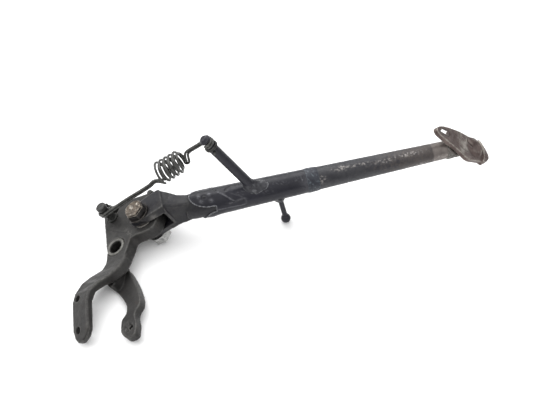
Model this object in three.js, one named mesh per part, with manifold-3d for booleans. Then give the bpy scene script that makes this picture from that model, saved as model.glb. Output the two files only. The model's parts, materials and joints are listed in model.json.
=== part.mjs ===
// Motorcycle side stand (kickstand) with its frame bracket, in millimetres, +Z up.
//
// The stand lies on its side: on the kick peg's ball and on the flat underside of the bracket.
// The bracket is drawn in the "plate frame": X and Y lie in the mounting plate, Z is the pivot
// axis, and the origin is where the pivot axis crosses the middle of the plate's tongue.
// The leg is drawn in the "leg frame", the plate frame turned about the pivot axis.

import * as THREE from 'three';
import { mergeVertices } from 'three/addons/utils/BufferGeometryUtils.js';
import Module from 'manifold-3d';

const wasm = await Module();
wasm.setup();

// ---------------------------------------------------------------- driving dimensions

const GAP = 0.3; // clearance between touching pieces
const PLATE_TILT = 30; // degrees the plate leans away from level
const LEG_TURN = 14.5; // degrees from the plate's X to the folded leg
const LEG_DROP = 25.1; // degrees the tube bends down from the ear plane
const REST_DEPTH = 25.8; // from the pivot's middle down to the surface that the stand lies on

const PLATE_TOP = 6;
const PLATE_BOTTOM = -6.5;

const BOLT_RADIUS = 6;
const BOLT_END = -22.8;
const HEAD_ACROSS_FLATS = 17;
const HEAD_HEIGHT = 7.4;
const BUSH_RADIUS = 8.2;
const BORE_RADIUS = BOLT_RADIUS + 0.35;
const THRUST_WASHER = { radius: 10.2, thickness: 1.1 };
const EAR_THICKNESS = 6.6;
const HEAD_WASHER = { radius: 10.6, thickness: 1.6 };
const NUT_WASHER = { radius: 9.9, thickness: 1.2 };
const NUT_HEIGHT = 7.2;

const STUD = { x: -37.6, y: 16, radius: 4.4, headRadius: 5.1, headThickness: 4.4, top: 26.6, hook: 19 };
const INSERT = { x: -29.8, y: -20.9, inner: 6.3, outer: 9.6, proud: 0.9 };
const STOP_PIN = { x: 6, y: 26.5, radius: 2.6, collar: 3.5, top: 10.8 };
const PLATE_HOLE = { x: -37, y: 25.8, radius: 4.4, recess: 5.8, recessTop: 0.6 };
const HOOK_HOLE = { x: -12.5, y: -104.5, radius: 2.4 };
const PRONG_HOLES = [[-53.6, -77.8, 19.7], [-53.2, -106.6, 13.4]];
const PRONG_HOLE_RADIUS = 3.2;
const HOOK_TOP = -8;
const HOOK_BOTTOM = -16;
const ROOT_TOP = 2;
const ROOT_BOTTOM = -14.5;
const PIN_HOLE_RADIUS = 1.35; // cross holes for the split pins
const STUD_PIN_HEIGHT = 13;
const POST_PIN_DEPTH = 5.5; // below the post's groove

const TUBE_START = { x: 41.5, z: -11 }; // on the leg's middle plane
const TUBE_LENGTH = 251;
const TUBE_JOINT = 113; // where the two tapers meet
const TUBE_RADII = { start: 13.4, joint: 11.2, lowerJoint: 11, end: 8.4 };
const TUBE_WALL = 2.8;

const POST = {
  x: 93.8,
  radius: 4.7,
  neckRadius: 3.3,
  headRadius: 5.4,
  grooveBottom: 37.6,
  grooveTop: 43.6,
  top: 47.9,
  leanDown: 3.8, // degrees that the post leans up the leg, towards the spring's stud
  leanSide: 2.6, // degrees that it leans to the leg's far side
};
const BALL = { radius: 4.7, along: 84.9, drop: 38.5, side: -2.9 };
const PEG_RADIUS = 2.6;

const WIRE_RADIUS = 0.9;
const COIL = { turns: 5, pitch: 4.9, offset: -2, middle: 89 };
const OUTER_COIL_RADIUS = 10.1;
const INNER_COIL_RADIUS = 7.5;

const FOOT_THICKNESS = 5;

// ---------------------------------------------------------------- small helpers

const radians = THREE.MathUtils.degToRad;
const vector = (x, y, z) => new THREE.Vector3(x, y, z);

function solid(geometry) {
  const bare = geometry.clone();
  bare.deleteAttribute('normal');
  bare.deleteAttribute('uv');
  const merged = mergeVertices(bare, 1e-4);
  const vertProperties = new Float32Array(merged.attributes.position.array);
  const triVerts = new Uint32Array(merged.index.array);
  return new wasm.Manifold(new wasm.Mesh({ numProp: 3, vertProperties, triVerts }));
}

function geometryOf(manifold) {
  const mesh = manifold.getMesh();
  const geometry = new THREE.BufferGeometry();
  geometry.setAttribute('position', new THREE.BufferAttribute(new Float32Array(mesh.vertProperties), 3));
  geometry.setIndex(new THREE.BufferAttribute(new Uint32Array(mesh.triVerts), 1));
  geometry.computeVertexNormals();
  return geometry;
}

// Closed outline from corner points [x, y, corner radius].
function outline(corners, steps = 4) {
  const points = [];
  const count = corners.length;
  corners.forEach(([x, y, radius], i) => {
    const corner = new THREE.Vector2(x, y);
    const towards = (j) => {
      const offset = new THREE.Vector2(...corners[j]).sub(corner);
      return offset.setLength(Math.min(radius, 0.46 * offset.length())).add(corner);
    };
    const start = towards((i + count - 1) % count);
    const end = towards((i + 1) % count);
    points.push(...new THREE.QuadraticBezierCurve(start, corner, end).getPoints(steps));
  });
  return new THREE.Shape(points);
}

function prism(shape, bottom, top) {
  const geometry = new THREE.ExtrudeGeometry(shape, { depth: top - bottom, bevelEnabled: false });
  return solid(geometry.translate(0, 0, bottom));
}

function cylinder(x, y, bottom, top, radius, topRadius = radius, segments = 28) {
  const geometry = new THREE.CylinderGeometry(topRadius, radius, top - bottom, segments);
  geometry.rotateX(Math.PI / 2);
  geometry.translate(x, y, (top + bottom) / 2);
  return solid(geometry);
}

function ring(x, y, bottom, top, inner, outer, segments = 28) {
  return cylinder(x, y, bottom, top, outer, outer, segments)
    .subtract(cylinder(x, y, bottom - 1, top + 1, inner, inner, segments));
}

function hexagon(bottom, top, acrossFlats, turn) {
  const geometry = new THREE.CylinderGeometry(acrossFlats / Math.sqrt(3), acrossFlats / Math.sqrt(3), top - bottom, 6);
  geometry.rotateX(Math.PI / 2);
  geometry.rotateZ(radians(turn));
  geometry.translate(0, 0, (top + bottom) / 2);
  return solid(geometry);
}

// Round bar along a smooth curve through the points.
function bar(points, radius, steps, sides = 8) {
  const section = new THREE.Shape();
  for (let i = 0; i < sides; i += 1) {
    const angle = (2 * Math.PI * i) / sides;
    const [x, y] = [radius * Math.cos(angle), radius * Math.sin(angle)];
    if (i === 0) section.moveTo(x, y);
    else section.lineTo(x, y);
  }
  section.closePath();
  const extrudePath = new THREE.CatmullRomCurve3(points, false, 'centripetal');
  return new THREE.ExtrudeGeometry(section, { steps, bevelEnabled: false, extrudePath });
}

// Closed skin over a row of rings that all have the same number of points.
function loft(rings) {
  const sides = rings[0].length;
  const middle = (points) => points
    .reduce((sum, point) => sum.add(point), vector(0, 0, 0))
    .divideScalar(sides);
  const vertices = [...rings.flat(), middle(rings[0]), middle(rings[rings.length - 1])];
  const first = rings.length * sides;
  const index = [];
  for (let j = 0; j < sides; j += 1) {
    const next = (j + 1) % sides;
    const last = (rings.length - 1) * sides;
    index.push(first, next, j, first + 1, last + j, last + next);
    for (let i = 0; i < rings.length - 1; i += 1) {
      const [a, b, c, d] = [i * sides + j, i * sides + next, (i + 1) * sides + j, (i + 1) * sides + next];
      index.push(a, b, d, a, d, c);
    }
  }
  const geometry = new THREE.BufferGeometry();
  const positions = vertices.flatMap((point) => point.toArray());
  geometry.setAttribute('position', new THREE.Float32BufferAttribute(positions, 3));
  geometry.setIndex(index);
  return solid(geometry);
}

// Flat bar section between a left and a right edge point of its top face, with bevelled corners.
function flatSection(left, right, normal, thickness, bevel) {
  const across = right.clone().sub(left).normalize();
  const down = normal.clone().negate();
  const at = (edge, inward, depth) => edge.clone()
    .addScaledVector(across, inward)
    .addScaledVector(down, depth);
  return [
    at(left, bevel, 0),
    at(left, 0, bevel),
    at(left, 0, thickness - bevel),
    at(left, bevel, thickness),
    at(right, -bevel, thickness),
    at(right, 0, thickness - bevel),
    at(right, 0, bevel),
    at(right, -bevel, 0),
  ];
}

function material(color, roughness, metalness) {
  return new THREE.MeshStandardMaterial({ color, roughness, metalness });
}

function addMesh(parent, name, shape, finish) {
  const geometry = shape.isBufferGeometry ? shape : geometryOf(shape);
  const mesh = new THREE.Mesh(geometry, finish());
  mesh.name = name;
  parent.add(mesh);
  return mesh;
}

const forgedSteel = () => material(0x4a4947, 0.62, 0.55);
const blackPaint = () => material(0x303038, 0.5, 0.3);
const rustedHead = () => material(0x8e8377, 0.7, 0.7);
const zincPlate = () => material(0xa9a9a9, 0.35, 0.9);
const bronze = () => material(0x8a6a3a, 0.5, 0.9);
const springSteel = () => material(0x3c3c38, 0.5, 0.6);
const bareSteel = () => material(0x858078, 0.45, 0.85);
const grayInsert = () => material(0x77756f, 0.5, 0.8);

// ---------------------------------------------------------------- scene graph frames

const kickstand = new THREE.Group();
const plate = new THREE.Group();
plate.rotation.y = -radians(PLATE_TILT);
kickstand.add(plate);

const leg = new THREE.Group();
leg.rotation.z = radians(LEG_TURN);
plate.add(leg);

// Tube frame: X runs down the tube, Z stays in the leg's middle plane.
const tube = new THREE.Group();
tube.rotation.y = radians(LEG_DROP);
tube.position.set(TUBE_START.x, 0, TUBE_START.z);
leg.add(tube);

// ---------------------------------------------------------------- bracket forging

const EAR_GAP_TOP = PLATE_TOP + GAP + THRUST_WASHER.thickness + GAP;
const EAR_GAP_BOTTOM = PLATE_BOTTOM - GAP - THRUST_WASHER.thickness - GAP;

const plateOutline = outline([
  [-52, 33.4, 10], [-38.8, -26, 5], [-38.5, -42, 6], [-23, -42, 6],
  [-16.6, -30, 6], [-13.6, -15.5, 4], [12, -15.5, 9], [16, 0, 9],
  [15, 14, 7], [8, 30.5, 8],
]);

const hookOutline = outline([
  [-41, -52, 4], [-27, -68.5, 7], [-19.8, -80, 5], [-19, -88.5, 3], [-24.2, -94.5, 3],
  [-22.8, -107, 4], [-16, -115, 4], [-6.5, -114, 4], [-6.5, -102, 4], [-10.5, -91, 4],
  [-5, -83, 3], [-6, -74, 6], [-12, -60, 8], [-22.5, -41.5, 6], [-29, -34.5, 4], [-36, -36, 5],
]);

const forkRootOutline = outline([
  [-39, -32, 5], [-40, -54, 6], [-33, -63, 5], [-27, -58, 5], [-26, -44, 6], [-27, -32, 5],
]);

// Offset arm and upper prong: left and right edges of the top face, from the neck to the tip.
const prongNormal = vector(-0.239, -0.22, 0.946).normalize();
const armStations = [
  { left: [-41, -16, 5.8], right: [-17, -24, 5.8], thickness: 12, turn: 0 },
  { left: [-38.3, -34, 6], right: [-16.6, -37, 6], thickness: 11.5, turn: 0 },
  { left: [-41.5, -44.5, 8], right: [-20.5, -46.8, 8], thickness: 12.4, turn: 0.15 },
  { left: [-49.1, -53.4, 14], right: [-27, -58, 13.5], thickness: 12.5, turn: 0.4 },
  { left: [-54.3, -61, 17.5], right: [-33.5, -66, 18.5], thickness: 10.5, turn: 0.7 },
  { left: [-58.5, -71.5, 19], right: [-38.5, -75, 22.4], thickness: 8.5, turn: 1 },
  { left: [-60.8, -79, 17.6], right: [-40.6, -84, 21.6], thickness: 7.5, turn: 1 },
  { left: [-60.4, -105, 11.5], right: [-39.8, -109.5, 15.6], thickness: 7, turn: 1 },
  { left: [-58.2, -112, 10.2], right: [-42.5, -114.5, 13.2], thickness: 6.5, turn: 1 },
  { left: [-54, -117, 9.8], right: [-47.5, -118.5, 11.1], thickness: 5.5, turn: 1 },
];

function armBody() {
  const rings = armStations.map(({ left, right, thickness, turn }) => {
    const normal = vector(0, 0, 1).lerp(prongNormal, turn).normalize();
    return flatSection(vector(...left), vector(...right), normal, thickness, 1.6);
  });
  return loft(rings);
}

// Drill through the prong, square to its face.
function prongHole([x, y, z]) {
  const geometry = new THREE.CylinderGeometry(PRONG_HOLE_RADIUS, PRONG_HOLE_RADIUS, 30, 20);
  const turn = new THREE.Quaternion().setFromUnitVectors(vector(0, 1, 0), prongNormal);
  geometry.applyQuaternion(turn);
  geometry.translate(x, y, z);
  return solid(geometry);
}

// Everything below the level surface that the stand lies on, in the plate frame.
function belowRest() {
  const block = new THREE.BoxGeometry(400, 400, 100);
  block.translate(0, 0, -50 - REST_DEPTH);
  block.rotateY(radians(PLATE_TILT));
  return solid(block);
}

const drill = ({ x, y }, radius, top = 20) => cylinder(x, y, -20, top, radius, radius, 20);

function bracketForging() {
  const bare = prism(plateOutline, PLATE_BOTTOM, PLATE_TOP)
    .add(armBody())
    .add(prism(forkRootOutline, ROOT_BOTTOM, ROOT_TOP))
    .add(prism(hookOutline, HOOK_BOTTOM, HOOK_TOP))
    .subtract(belowRest());
  return PRONG_HOLES.reduce((shape, hole) => shape.subtract(prongHole(hole)), bare)
    .subtract(cylinder(0, 0, -20, 20, BUSH_RADIUS + GAP))
    .subtract(cylinder(INSERT.x, INSERT.y, -20, 20, INSERT.outer + GAP))
    .subtract(drill(STUD, STUD.radius + GAP))
    .subtract(drill(PLATE_HOLE, PLATE_HOLE.radius))
    .subtract(drill(PLATE_HOLE, PLATE_HOLE.recess, PLATE_HOLE.recessTop))
    .subtract(drill(STOP_PIN, STOP_PIN.radius + GAP))
    .subtract(drill(HOOK_HOLE, HOOK_HOLE.radius, 0));
}

addMesh(plate, 'bracket_forging', bracketForging(), forgedSteel);
addMesh(plate, 'threaded_insert', ring(
  INSERT.x, INSERT.y, PLATE_BOTTOM, PLATE_TOP + INSERT.proud, INSERT.inner, INSERT.outer,
), grayInsert);

function springStud() {
  const { x, y, radius, headRadius, headThickness, top } = STUD;
  const crossHole = new THREE.CylinderGeometry(PIN_HOLE_RADIUS, PIN_HOLE_RADIUS, 20, 10);
  crossHole.translate(x, y, STUD_PIN_HEIGHT);
  const headBottom = top - headThickness;
  return cylinder(x, y, PLATE_BOTTOM + 1.5, headBottom + 0.4, radius, radius, 20)
    .add(cylinder(x, y, PLATE_TOP + GAP, PLATE_TOP + 2, radius + 0.6, radius + 0.5, 20))
    .add(cylinder(x, y, headBottom, top - 0.8, headRadius, headRadius, 20))
    .add(cylinder(x, y, top - 0.9, top, headRadius, headRadius - 1, 20))
    .subtract(solid(crossHole));
}

addMesh(plate, 'spring_stud', springStud(), forgedSteel);

// Split pin lying along Y through a stud, with its eye at +Y.
function splitPin(x, y, z, length) {
  const leg1 = new THREE.CylinderGeometry(1.05, 1.05, length, 8).translate(x, y, z);
  const eye = new THREE.TorusGeometry(1.9, 0.8, 6, 12);
  eye.rotateY(Math.PI / 2);
  eye.translate(x, y + length / 2 + 1.6, z);
  return solid(leg1).add(solid(eye));
}

addMesh(plate, 'stud_split_pin', splitPin(STUD.x, STUD.y - 0.5, STUD_PIN_HEIGHT, 14), forgedSteel);

function stopPin() {
  const { x, y, radius, collar, top } = STOP_PIN;
  return cylinder(x, y, PLATE_BOTTOM, top, radius, radius, 16)
    .add(cylinder(x, y, PLATE_TOP + GAP, top, collar, radius + 0.2, 16));
}

addMesh(plate, 'stop_pin', stopPin(), forgedSteel);

// ---------------------------------------------------------------- pivot stack

const EAR_TOP = EAR_GAP_TOP + EAR_THICKNESS;
const EAR_BOTTOM = EAR_GAP_BOTTOM - EAR_THICKNESS;
const HEAD_BOTTOM = EAR_TOP + 2 * GAP + HEAD_WASHER.thickness;
const NUT_TOP = EAR_BOTTOM - 2 * GAP - NUT_WASHER.thickness;

addMesh(plate, 'pivot_bush', ring(0, 0, PLATE_BOTTOM, PLATE_TOP, BORE_RADIUS, BUSH_RADIUS), bronze);
addMesh(plate, 'thrust_washer_upper', ring(
  0, 0, PLATE_TOP + GAP, EAR_GAP_TOP - GAP, BORE_RADIUS, THRUST_WASHER.radius,
), bareSteel);
addMesh(plate, 'thrust_washer_lower', ring(
  0, 0, EAR_GAP_BOTTOM + GAP, PLATE_BOTTOM - GAP, BORE_RADIUS, THRUST_WASHER.radius,
), bareSteel);

const headBody = hexagon(HEAD_BOTTOM, HEAD_BOTTOM + HEAD_HEIGHT, HEAD_ACROSS_FLATS, 8)
  .intersect(cylinder(0, 0, HEAD_BOTTOM, HEAD_BOTTOM + HEAD_HEIGHT, 13.2, HEAD_ACROSS_FLATS / 2 + 0.2, 36));
const bolt = headBody.add(cylinder(0, 0, BOLT_END, HEAD_BOTTOM + 1, BOLT_RADIUS));
addMesh(leg, 'pivot_bolt', bolt, rustedHead);
addMesh(leg, 'head_washer', ring(
  0, 0, EAR_TOP + GAP, HEAD_BOTTOM - GAP, BORE_RADIUS, HEAD_WASHER.radius,
), rustedHead);
addMesh(leg, 'nut_washer', ring(
  0, 0, NUT_TOP + GAP, EAR_BOTTOM - GAP, BORE_RADIUS, NUT_WASHER.radius,
), zincPlate);

const nut = hexagon(NUT_TOP - NUT_HEIGHT, NUT_TOP, HEAD_ACROSS_FLATS, 20)
  .subtract(cylinder(0, 0, NUT_TOP - NUT_HEIGHT - 1, NUT_TOP + 1, BORE_RADIUS));
addMesh(leg, 'pivot_nut', nut, zincPlate);

// ---------------------------------------------------------------- tube shapes used for cutting

// Solid of revolution about the tube axis, radius growing by `extra`.
function tubeCone(from, to, extra, segments = 32) {
  const radiusAt = (x) => {
    if (x <= TUBE_JOINT) return THREE.MathUtils.lerp(TUBE_RADII.start, TUBE_RADII.joint, x / TUBE_JOINT);
    const share = (x - TUBE_JOINT) / (TUBE_LENGTH - TUBE_JOINT);
    return THREE.MathUtils.lerp(TUBE_RADII.lowerJoint, TUBE_RADII.end, share);
  };
  const geometry = new THREE.CylinderGeometry(radiusAt(to) + extra, radiusAt(from) + extra, to - from, segments);
  geometry.rotateZ(-Math.PI / 2);
  geometry.translate((from + to) / 2, 0, 0);
  return solid(geometry);
}

// Places a solid of the tube frame into the leg frame.
function inLegFrame(manifold) {
  const geometry = geometryOf(manifold);
  geometry.rotateY(radians(LEG_DROP));
  geometry.translate(TUBE_START.x, 0, TUBE_START.z);
  return solid(geometry);
}

// ---------------------------------------------------------------- clevis

const earOutline = outline([
  [-13, -5, 6], [8, -10.7, 6], [25, -10.6, 1], [25, 16.2, 3], [13, 16.8, 5], [-6, 12.5, 8],
]);

// Neck between the ears and the tube. Each station has a top and a bottom edge [x, z] in the leg
// frame, and the Y of its front and back faces at [top, bottom].
const neckStations = [
  { top: [17, 14.4], bottom: [17, -14.7], front: [-8.2, -10.4], back: [16.2, 15.8] },
  { top: [24, 14], bottom: [23, -14.9], front: [-8, -10.4], back: [15.8, 14.2] },
  { top: [30, 8.6], bottom: [27.4, -15.4], front: [-8, -10.2], back: [13.4, 11.5] },
  { top: [36, 4.8], bottom: [30.6, -17.2], front: [-8, -9.7], back: [8.6, 9] },
  { top: [43.4, 0.4], bottom: [34.8, -18.2], front: [-8.3, -9.3], back: [6.6, 8] },
  { top: [49, -2.4], bottom: [40.2, -21.2], front: [-6, -6], back: [6, 6] },
];
const NECK_BEVEL = 1.8;

// Ring of eight corners: down the front face, along the bottom and up the back.
function neckRing({ top, bottom, front, back }) {
  const topFront = vector(top[0], front[0], top[1]);
  const bottomFront = vector(bottom[0], front[1], bottom[1]);
  const bottomBack = vector(bottom[0], back[1], bottom[1]);
  const topBack = vector(top[0], back[0], top[1]);
  const stepped = (from, to) => to.clone().sub(from).setLength(NECK_BEVEL).add(from);
  return [
    stepped(topFront, topBack), stepped(topFront, bottomFront),
    stepped(bottomFront, topFront), stepped(bottomFront, bottomBack),
    stepped(bottomBack, bottomFront), stepped(bottomBack, topBack),
    stepped(topBack, bottomBack), stepped(topBack, topFront),
  ];
}

// Wedge that gives an ear's front face its forging draft, from its inner edge to its outer one.
function draftCutter(side) {
  const draft = 20; // degrees
  const wedge = new THREE.BoxGeometry(120, 20, 40);
  wedge.translate(0, -10, 0);
  wedge.rotateX(-side * radians(draft));
  const inner = side > 0 ? EAR_GAP_TOP : EAR_GAP_BOTTOM;
  wedge.translate(0, -10.6, inner);
  return solid(wedge);
}

function clevis() {
  const slot = new THREE.BoxGeometry(60, 60, EAR_GAP_TOP - EAR_GAP_BOTTOM);
  slot.translate(-8, 0, (EAR_GAP_TOP + EAR_GAP_BOTTOM) / 2);
  const shank = new THREE.CylinderGeometry(9.6, 9.9, 34, 24);
  shank.rotateZ(-Math.PI / 2);
  shank.translate(17, 0, 0);
  const cap = inLegFrame(tubeCone(0, 60, GAP).subtract(solid(shank)));
  return prism(earOutline, EAR_BOTTOM, EAR_TOP)
    .subtract(draftCutter(1))
    .subtract(draftCutter(-1))
    .add(loft(neckStations.map(neckRing)))
    .subtract(cap)
    .add(inLegFrame(solid(shank)).subtract(cylinder(0, 0, -40, 40, 24)))
    .subtract(solid(slot))
    .subtract(cylinder(0, 0, -40, 40, BORE_RADIUS));
}

addMesh(leg, 'clevis', clevis(), blackPaint);

// ---------------------------------------------------------------- tubes

// Foot frame: X along the foot towards its bowl, Z out of the sole.
const footAlong = vector(0.338, 0, -0.94).normalize();
const footNormal = vector(0.874, -0.372, 0.314).normalize();
const footAcross = footNormal.clone().cross(footAlong).normalize();
const footFrame = new THREE.Matrix4().makeBasis(footAlong, footAcross, footNormal);
footFrame.setPosition(268.7, 0, -91);

function soleCutter() {
  const box = new THREE.BoxGeometry(200, 200, 100);
  box.translate(0, 0, 50 - FOOT_THICKNESS - GAP);
  box.applyMatrix4(footFrame);
  box.translate(-TUBE_START.x, 0, -TUBE_START.z);
  box.rotateY(-radians(LEG_DROP));
  return solid(box);
}

const upperTube = tubeCone(0, TUBE_JOINT, 0)
  .subtract(tubeCone(-1, TUBE_JOINT + 1, -TUBE_WALL));
const lowerTube = tubeCone(TUBE_JOINT + GAP, TUBE_LENGTH + 20, 0)
  .subtract(tubeCone(TUBE_JOINT - 1, TUBE_LENGTH + 22, -TUBE_WALL))
  .subtract(soleCutter());
addMesh(tube, 'upper_tube', upperTube, blackPaint);
addMesh(tube, 'lower_tube', lowerTube, blackPaint);

// Weld bead of revolution about the tube axis.
function bead(middle, width, height) {
  return tubeCone(middle - width / 2, middle + width / 2, height)
    .subtract(tubeCone(middle - 0.6 * width, middle + 0.6 * width, GAP));
}

addMesh(tube, 'tube_weld', bead(TUBE_JOINT - 2.5, 4, 0.65), blackPaint);
const footWeld = tubeCone(TUBE_LENGTH - 7, TUBE_LENGTH + 20, 0.9)
  .subtract(tubeCone(TUBE_LENGTH - 30, TUBE_LENGTH + 30, GAP))
  .subtract(soleCutter());
addMesh(tube, 'foot_weld', footWeld, bareSteel);

// ---------------------------------------------------------------- spring post on the tube

const tubeKeepout = inLegFrame(tubeCone(-10, TUBE_JOINT, GAP));

// The post stands square to the leg's X and Y before it is leant about the middle of its groove.
const POST_HOOK_Z = (POST.grooveBottom + POST.grooveTop) / 2;
const postLean = new THREE.Matrix4()
  .makeTranslation(POST.x, 0, POST_HOOK_Z)
  .multiply(new THREE.Matrix4().makeRotationFromEuler(
    new THREE.Euler(-radians(POST.leanSide), -radians(POST.leanDown), 0),
  ))
  .multiply(new THREE.Matrix4().makeTranslation(-POST.x, 0, -POST_HOOK_Z));
const leant = (manifold) => solid(geometryOf(manifold).applyMatrix4(postLean));

function springPost() {
  const { x, radius, neckRadius, headRadius, grooveBottom, grooveTop, top } = POST;
  const crossHole = new THREE.CylinderGeometry(PIN_HOLE_RADIUS, PIN_HOLE_RADIUS, 20, 10);
  crossHole.translate(x, 0, grooveBottom - POST_PIN_DEPTH);
  const upright = cylinder(x, 0, -32, grooveBottom, radius, radius, 20)
    .add(cylinder(x, 0, grooveBottom - 1, grooveTop + 1, neckRadius, neckRadius, 20))
    .add(cylinder(x, 0, grooveTop, top - 2.2, headRadius, headRadius - 0.2, 20))
    .add(cylinder(x, 0, top - 2.3, top, headRadius - 0.2, headRadius - 2.6, 20))
    .subtract(solid(crossHole));
  return leant(upright).subtract(tubeKeepout);
}

// Fillet round the post's foot, running out into a gusset down the tube.
function postWeld() {
  const gusset = new THREE.Shape([
    new THREE.Vector2(POST.x, -40), new THREE.Vector2(POST.x + 18, -40),
    new THREE.Vector2(POST.x + 14, -30.5), new THREE.Vector2(POST.x + 4, -15),
    new THREE.Vector2(POST.x, -15),
  ]);
  const web = new THREE.ExtrudeGeometry(gusset, { depth: 8, bevelEnabled: false });
  web.rotateX(Math.PI / 2).translate(0, 4, 0);
  const upright = solid(web)
    .add(cylinder(POST.x, 0, -31, -17, 9, 5.8, 24))
    .subtract(cylinder(POST.x, 0, -60, 0, POST.radius + GAP, POST.radius + GAP, 20));
  return leant(upright).subtract(tubeKeepout);
}

addMesh(leg, 'spring_post', springPost(), blackPaint);
addMesh(leg, 'post_weld', postWeld(), blackPaint);
addMesh(leg, 'post_washer', leant(ring(
  POST.x, 0, POST.grooveBottom - 3.2, POST.grooveBottom - 0.6, POST.radius + GAP, 6.2, 20,
)), forgedSteel);
const postPin = splitPin(POST.x, -0.5, POST.grooveBottom - POST_PIN_DEPTH, 14);
addMesh(leg, 'post_split_pin', leant(postPin), forgedSteel);

// ---------------------------------------------------------------- kick peg

// The peg leans down the tube and to one side, the more the further it is from the tube.
const PEG_LEAN = 3.4;
const pegPoints = [0.25, 0.4, 0.6, 0.8, 1].map((share) => {
  const lean = (share - 0.25) / 0.75;
  return vector(BALL.along - PEG_LEAN * (1 - lean), BALL.side * lean, -BALL.drop * share);
});
const ball = new THREE.SphereGeometry(BALL.radius, 20, 12).translate(BALL.along, BALL.side, -BALL.drop);
const peg = solid(bar(pegPoints, PEG_RADIUS, 16, 10))
  .add(solid(ball))
  .subtract(tubeCone(0, TUBE_JOINT, GAP));
addMesh(tube, 'kick_peg', peg, blackPaint);

const pegWeld = new THREE.CylinderGeometry(6.4, 4.4, 5, 18).rotateX(Math.PI / 2)
  .translate(BALL.along - PEG_LEAN, -0.2, -13.6);
const pegClear = solid(bar(pegPoints, PEG_RADIUS + GAP, 16, 10));
addMesh(tube, 'peg_weld', solid(pegWeld).subtract(tubeCone(0, TUBE_JOINT, GAP)).subtract(pegClear), blackPaint);

// ---------------------------------------------------------------- foot

const footOutline = outline([
  [-6.8, 0, 2.5], [-4, -4.4, 3], [8.5, -7.2, 8], [22.6, -9.4, 8], [38.5, -14.3, 5], [57, -7.6, 4],
  [61.5, -8.8, 3], [70, 1.2, 5], [64.2, 10.1, 5], [54.5, 17.2, 6], [43.3, 13.9, 8], [28.3, 13.7, 8],
  [5.8, 8.6, 8], [-3, 4.4, 4],
]);
const slotOutline = outline([[-1.8, -0.9, 1.8], [6.8, -0.9, 1.8], [8.6, 3.8, 1.8], [0.4, 3.2, 1.8]]);
const rimOutline = outline([
  [53.5, 16.4, 3], [63.8, 10, 4], [69.6, 1.2, 4], [61.5, -8.4, 3], [58, -7.3, 2], [62, 0, 6],
]);

function footPlate() {
  const bowl = new THREE.SphereGeometry(26, 28, 18).translate(46, 2, 23.9);
  return prism(footOutline, -FOOT_THICKNESS, 0)
    .add(prism(rimOutline, -FOOT_THICKNESS, 2))
    .subtract(prism(slotOutline, -20, 20))
    .subtract(solid(bowl));
}

const foot = addMesh(leg, 'foot_plate', footPlate(), bareSteel);
foot.applyMatrix4(footFrame);

// ---------------------------------------------------------------- extension springs

const postInPlate = vector(POST.x, 0, POST_HOOK_Z).applyAxisAngle(vector(0, 0, 1), radians(LEG_TURN));
const springStart = vector(STUD.x, STUD.y, STUD.hook);
const springAlong = postInPlate.clone().sub(springStart);
const SPRING_LENGTH = springAlong.length();
springAlong.normalize();
const springSide = vector(0, 0, 1).cross(springAlong).normalize();
const springUp = springAlong.clone().cross(springSide);
const springFrame = new THREE.Matrix4().makeBasis(springAlong, springSide, springUp);
springFrame.setPosition(springStart);

const arcPoints = (x, y, z, radius, from, to, count) => Array.from({ length: count + 1 }, (_, i) => {
  const angle = radians(THREE.MathUtils.lerp(from, to, i / count));
  return vector(x + radius * Math.cos(angle), y + radius * Math.sin(angle), z);
});

// Turn of the coil at `turn` (counted from the lower end), on the given radius.
function coilPoint(turn, radius) {
  const angle = radians(270) + 2 * Math.PI * turn;
  const x = COIL.middle + (turn - COIL.turns / 2) * COIL.pitch;
  return vector(x, COIL.offset + radius * Math.sin(angle), radius * Math.cos(angle));
}

const coilPoints = (radius, from, to) => Array.from(
  { length: Math.round((to - from) * 12) + 1 },
  (_, i) => coilPoint(from + i / 12, radius),
);

function springHalves(name, radius, level) {
  const middle = COIL.turns / 2;
  const lower = [
    ...arcPoints(0, 0, level, STUD.radius + WIRE_RADIUS + 0.6, -60, -270, 7),
    vector(14, 3, level),
    vector(30, -0.6, level),
    vector(54, -5.2, level),
    vector(62, -5.5 - 0.1 * radius, level),
    vector(69, -5 - 0.5 * radius, 0.8 * level),
    ...coilPoints(radius, 0, middle - 0.012),
  ];
  const upper = [
    ...coilPoints(radius, middle + 0.012, COIL.turns - 0.25),
    vector(COIL.middle + 9 + 0.65 * radius, 1.2 + 0.45 * radius, 9.4 - 1.45 * radius),
    vector(SPRING_LENGTH - 16, 4.4, level),
    ...arcPoints(SPRING_LENGTH, 0, level, POST.neckRadius + WIRE_RADIUS + 0.5, 90, -120, 7),
  ];
  [['lower', lower, 84], ['upper', upper, 72]].forEach(([half, points, steps]) => {
    const wire = addMesh(plate, `${name}_${half}`, bar(points, WIRE_RADIUS, steps, 6), springSteel);
    wire.applyMatrix4(springFrame);
  });
}

springHalves('outer_spring', OUTER_COIL_RADIUS, -1.35);
springHalves('inner_spring', INNER_COIL_RADIUS, 1.35);

// ---------------------------------------------------------------- stand it on its base point

kickstand.updateMatrixWorld(true);
const box = new THREE.Box3().setFromObject(kickstand, true);
const centre = box.getCenter(vector(0, 0, 0));
kickstand.position.set(-centre.x, -centre.y, -box.min.z);

export default kickstand;
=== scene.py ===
"""Motorcycle kickstand: the visual model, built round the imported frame, in metres.

Places on the object are given in millimetres in the frame of the piece that they belong to.
The plate's and the leg's frames stand on the pivot, and the tube's and the foot's where those
pieces start. The spring's frame stands on the stud, with X towards the post.
"""

import json
import math

import bmesh
import bpy
import numpy as np
from mathutils import Matrix, Vector, noise


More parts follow.
